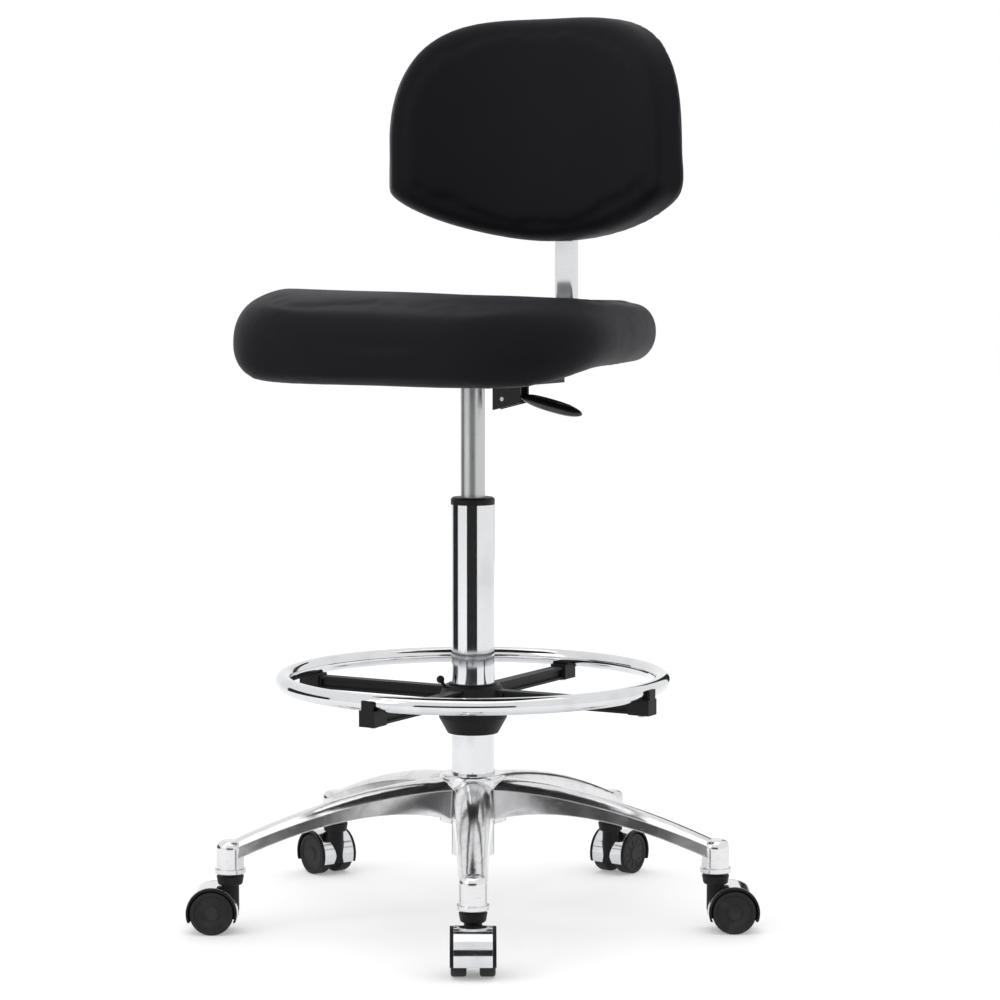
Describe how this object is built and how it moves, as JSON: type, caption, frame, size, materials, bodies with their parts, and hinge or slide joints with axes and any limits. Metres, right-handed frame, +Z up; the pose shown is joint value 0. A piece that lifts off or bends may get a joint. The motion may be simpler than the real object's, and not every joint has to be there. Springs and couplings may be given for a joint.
{
  "type": "drafting chair",
  "caption": "Armless drafting chair: padded seat and back, gas-lift column with a foot ring, polished star base on hooded twin-wheel casters.",
  "frame": {"origin": "on the floor under the column axis, where the casters stand", "axes": "+Z up, the chair faces -Y, +X is the sitter's left"},
  "size_m": [0.6559, 0.6433, 1.044],
  "materials": {
    "polished_aluminium": "polished die casting",
    "chrome_tube": "bright chrome plate on steel tube",
    "chrome_plate": "bright chrome plate",
    "satin_steel": "satin ground",
    "bearing_steel": "zinc plated",
    "dark_paint": "dark grey paint on pressed steel",
    "black_nylon": "moulded nylon",
    "black_plastic": "fine texture",
    "gloss_black_plastic": "smooth moulded",
    "wheel_nylon": "hard moulded tread",
    "black_rubber": "moulded",
    "plywood": "raw plywood",
    "black_vinyl": "grained vinyl over foam"
  },
  "bodies": {
    "base": {"base_star": "polished_aluminium", "column_tube": "chrome_tube", "column_bushing": "black_nylon", "column_collar": "black_nylon", "caster_1_stem": "bearing_steel", "caster_2_stem": "bearing_steel", "caster_3_stem": "bearing_steel", "caster_4_stem": "bearing_steel", "caster_5_stem": "bearing_steel"},
    "lift_rod": {"piston_rod": "bearing_steel", "thrust_bearing": "bearing_steel", "bump_stop": "black_rubber", "retaining_clip": "bearing_steel"},
    "seat": {"gas_cylinder": "satin_steel", "mechanism_housing": "dark_paint", "mechanism_bolts": "bearing_steel", "seat_board": "plywood", "seat_shell": "black_plastic", "seat_cushion": "black_vinyl"},
    "release": {"release_pin": "bearing_steel"},
    "height_lever": {"lever_rod": "bearing_steel", "lever_paddle": "gloss_black_plastic"},
    "back_bar": {"back_bar": "chrome_tube"},
    "depth_knob": {"depth_knob": "black_plastic"},
    "back": {"back_bracket": "dark_paint", "back_board": "plywood", "back_cushion": "black_vinyl", "back_shell": "black_plastic", "back_bolts": "bearing_steel"},
    "height_knob": {"height_knob": "black_plastic"},
    "ring_sleeve": {"ring_collar": "black_nylon"},
    "foot_ring": {"foot_ring": "chrome_tube", "ring_spider": "black_nylon", "ring_screws": "bearing_steel"},
    "ring_knob": {"ring_clamp_knob": "black_plastic"},
    "caster_1": {"caster_1_body": "black_nylon", "caster_1_hood": "chrome_plate", "caster_1_axle": "bearing_steel"},
    "caster_1_wheel_left": {"caster_1_wheel_left": "wheel_nylon"},
    "caster_1_wheel_right": {"caster_1_wheel_right": "wheel_nylon"},
    "caster_2": {"caster_2_body": "black_nylon", "caster_2_hood": "chrome_plate", "caster_2_axle": "bearing_steel"},
    "caster_2_wheel_left": {"caster_2_wheel_left": "wheel_nylon"},
    "caster_2_wheel_right": {"caster_2_wheel_right": "wheel_nylon"},
    "caster_3": {"caster_3_body": "black_nylon", "caster_3_hood": "chrome_plate", "caster_3_axle": "bearing_steel"},
    "caster_3_wheel_left": {"caster_3_wheel_left": "wheel_nylon"},
    "caster_3_wheel_right": {"caster_3_wheel_right": "wheel_nylon"},
    "caster_4": {"caster_4_body": "black_nylon", "caster_4_hood": "chrome_plate", "caster_4_axle": "bearing_steel"},
    "caster_4_wheel_left": {"caster_4_wheel_left": "wheel_nylon"},
    "caster_4_wheel_right": {"caster_4_wheel_right": "wheel_nylon"},
    "caster_5": {"caster_5_body": "black_nylon", "caster_5_hood": "chrome_plate", "caster_5_axle": "bearing_steel"},
    "caster_5_wheel_left": {"caster_5_wheel_left": "wheel_nylon"},
    "caster_5_wheel_right": {"caster_5_wheel_right": "wheel_nylon"}
  },
  "joints": [
    {"name": "caster_1_swivel", "type": "hinge", "parent": "base", "child": "caster_1", "pos_m": [0.1445, -0.25028, 0.05], "axis": [0, 0, 1], "continuous": true},
    {"name": "caster_1_left_roll", "type": "hinge", "parent": "caster_1", "child": "caster_1_wheel_left", "pos_m": [0.1545, -0.2676, 0.025], "axis": [0.866, 0.5, 0], "continuous": true},
    {"name": "caster_1_right_roll", "type": "hinge", "parent": "caster_1", "child": "caster_1_wheel_right", "pos_m": [0.1545, -0.2676, 0.025], "axis": [0.866, 0.5, 0], "continuous": true},
    {"name": "caster_2_swivel", "type": "hinge", "parent": "base", "child": "caster_2", "pos_m": [0.28268, 0.06009, 0.05], "axis": [0, 0, 1], "continuous": true},
    {"name": "caster_2_left_roll", "type": "hinge", "parent": "caster_2", "child": "caster_2_wheel_left", "pos_m": [0.30001, 0.07009, 0.025], "axis": [-0.5, 0.866, 0], "continuous": true},
    {"name": "caster_2_right_roll", "type": "hinge", "parent": "caster_2", "child": "caster_2_wheel_right", "pos_m": [0.30001, 0.07009, 0.025], "axis": [-0.5, 0.866, 0], "continuous": true},
    {"name": "caster_3_swivel", "type": "hinge", "parent": "base", "child": "caster_3", "pos_m": [0.03021, 0.28742, 0.05], "axis": [0, 0, 1], "continuous": true},
    {"name": "caster_3_left_roll", "type": "hinge", "parent": "caster_3", "child": "caster_3_wheel_left", "pos_m": [0.0323, 0.30731, 0.025], "axis": [-0.9945, 0.1045, 0], "continuous": true},
    {"name": "caster_3_right_roll", "type": "hinge", "parent": "caster_3", "child": "caster_3_wheel_right", "pos_m": [0.0323, 0.30731, 0.025], "axis": [-0.9945, 0.1045, 0], "continuous": true},
    {"name": "caster_4_swivel", "type": "hinge", "parent": "base", "child": "caster_4", "pos_m": [-0.26401, 0.11755, 0.05], "axis": [0, 0, 1], "continuous": true},
    {"name": "caster_4_left_roll", "type": "hinge", "parent": "caster_4", "child": "caster_4_wheel_left", "pos_m": [-0.28229, 0.12568, 0.025], "axis": [-0.4067, -0.9135, 0], "continuous": true},
    {"name": "caster_4_right_roll", "type": "hinge", "parent": "caster_4", "child": "caster_4_wheel_right", "pos_m": [-0.28229, 0.12568, 0.025], "axis": [-0.4067, -0.9135, 0], "continuous": true},
    {"name": "caster_5_swivel", "type": "hinge", "parent": "base", "child": "caster_5", "pos_m": [-0.19338, -0.21477, 0.05], "axis": [0, 0, 1], "continuous": true},
    {"name": "caster_5_left_roll", "type": "hinge", "parent": "caster_5", "child": "caster_5_wheel_left", "pos_m": [-0.2107, -0.22477, 0.025], "axis": [0.5, -0.866, 0], "continuous": true},
    {"name": "caster_5_right_roll", "type": "hinge", "parent": "caster_5", "child": "caster_5_wheel_right", "pos_m": [-0.2107, -0.22477, 0.025], "axis": [0.5, -0.866, 0], "continuous": true},
    {"name": "seat_swivel", "type": "hinge", "parent": "base", "child": "lift_rod", "pos_m": [0, 0, 0.08], "axis": [0, 0, 1], "continuous": true},
    {"name": "gas_lift", "type": "slide", "parent": "lift_rod", "child": "seat", "axis": [0, 0, 1], "range_m": [-0.115, 0.135]},
    {"name": "height_lever_pull", "type": "hinge", "parent": "seat", "child": "height_lever", "pos_m": [0.044, 0, 0.601], "axis": [0, -1, 0], "range_deg": [0, 7], "stiffness_Nm_per_rad": 0.6, "springref_deg": -6.88},
    {"name": "release_press", "type": "slide", "parent": "seat", "child": "release", "axis": [0, 0, 1], "range_m": [-0.0062, 0], "stiffness_N_per_m": 2, "springref_m": 0.0164},
    {"name": "back_depth", "type": "slide", "parent": "seat", "child": "back_bar", "axis": [0, 1, 0], "range_m": [-0.01, 0.04]},
    {"name": "depth_knob_turn", "type": "hinge", "parent": "seat", "child": "depth_knob", "pos_m": [0, 0.098, 0.6], "axis": [0, 0, 1], "range_deg": [-180, 180]},
    {"name": "back_height", "type": "slide", "parent": "back_bar", "child": "back", "axis": [0, 0, 1], "range_m": [-0.025, 0.02]},
    {"name": "height_knob_turn", "type": "hinge", "parent": "back", "child": "height_knob", "pos_m": [0, 0.25, 0.865], "axis": [0, 1, 0], "range_deg": [-180, 180]},
    {"name": "ring_height", "type": "slide", "parent": "base", "child": "ring_sleeve", "axis": [0, 0, 1], "range_m": [-0.04, 0.18]},
    {"name": "ring_turn", "type": "hinge", "parent": "ring_sleeve", "child": "foot_ring", "pos_m": [0, 0, 0.26], "axis": [0, 0, 1], "continuous": true},
    {"name": "ring_knob_turn", "type": "hinge", "parent": "foot_ring", "child": "ring_knob", "pos_m": [-0.02135, -0.02135, 0.262], "axis": [-0.3536, -0.3536, 0.866], "range_deg": [-180, 180]}
  ],
  "couplings": [
    {"joint": "release_press", "follows": "height_lever_pull", "m_per_rad": -0.048}
  ]
}
